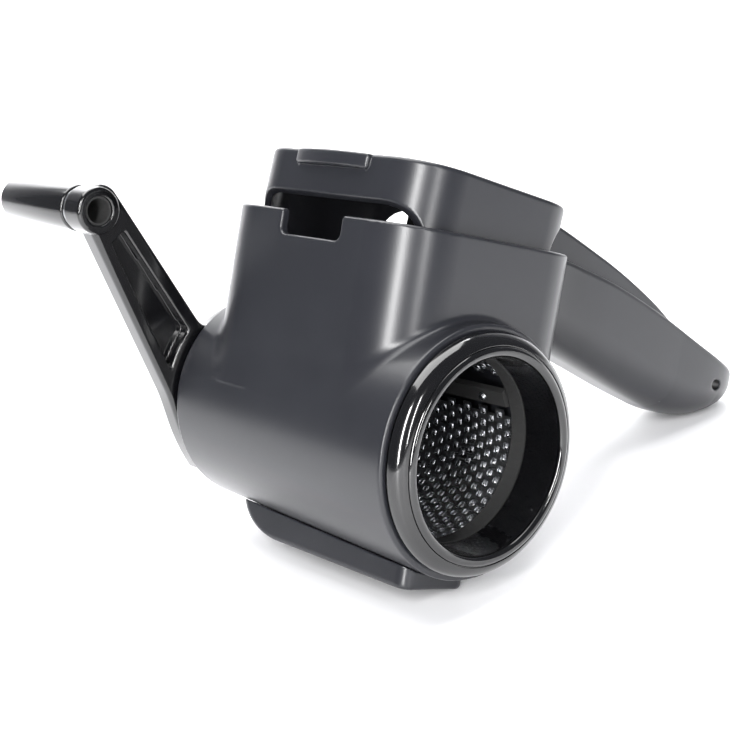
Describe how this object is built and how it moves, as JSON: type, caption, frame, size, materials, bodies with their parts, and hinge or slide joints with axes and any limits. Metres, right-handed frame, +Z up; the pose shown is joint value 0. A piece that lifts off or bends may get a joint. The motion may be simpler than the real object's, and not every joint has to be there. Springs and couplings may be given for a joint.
{
  "type": "rotary cheese grater",
  "caption": "Black hand-cranked rotary cheese grater: open-fronted perforated drum in a barrel under a hopper, with a squeeze-down presser hinged in its trough handle.",
  "frame": {"origin": "centre of the bounding box in plan, on the surface that the grater stands on", "axes": "+Z up; +X from the drum toward the tail of the handle; +Y along the drum axis from its open front toward the crank"},
  "size_m": [0.208, 0.1428, 0.1141],
  "materials": {
    "satin_body": "satin moulded ABS",
    "gloss_black": "polished moulded ABS",
    "black_nylon": "plain moulded nylon",
    "steel_sheet": "etched stainless sheet",
    "steel_bright": "turned stainless steel",
    "black_rubber": "matte rubber"
  },
  "bodies": {
    "housing": {"housing_shell": "satin_body", "foot_body": "satin_body", "foot_tread": "black_rubber", "front_bearing_ring": "black_nylon", "rear_bearing_bush": "black_nylon", "hinge_pin": "steel_bright", "hinge_washer_front": "black_nylon", "hinge_washer_rear": "black_nylon"},
    "crank": {"crank_arm": "gloss_black", "drive_spindle": "black_nylon", "crank_screw": "steel_bright", "crank_cap": "gloss_black", "grip_pin": "black_nylon", "grip_washer": "steel_bright"},
    "crank_grip": {"grip_sleeve": "gloss_black", "grip_end_cap": "gloss_black"},
    "drum": {"drum_collar": "gloss_black", "drum_front_ring": "black_nylon", "drum_blade": "steel_sheet", "drum_rear_hub": "black_nylon", "drum_seam_bar": "black_nylon", "seam_rivet_1": "steel_bright", "seam_rivet_2": "steel_bright", "seam_rivet_3": "steel_bright", "seam_rivet_4": "steel_bright"},
    "presser": {"presser_lever": "satin_body", "press_plate": "black_nylon"}
  },
  "joints": [
    {"name": "crank_turn", "type": "hinge", "parent": "housing", "child": "crank", "pos_m": [-0.05301, 0.02605, 0.0387], "axis": [0, 1, 0], "continuous": true},
    {"name": "grip_spin", "type": "hinge", "parent": "crank", "child": "crank_grip", "pos_m": [-0.09754, 0.02605, 0.10303], "axis": [0, 1, 0], "continuous": true},
    {"name": "drum_pull", "type": "slide", "parent": "crank", "child": "drum", "axis": [0, -1, 0], "range_m": [0, 0.085]},
    {"name": "presser_lift", "type": "hinge", "parent": "housing", "child": "presser", "pos_m": [0.06972, -0.01945, 0.02766], "axis": [0, 1, 0], "range_deg": [-4.6, 99]}
  ]
}
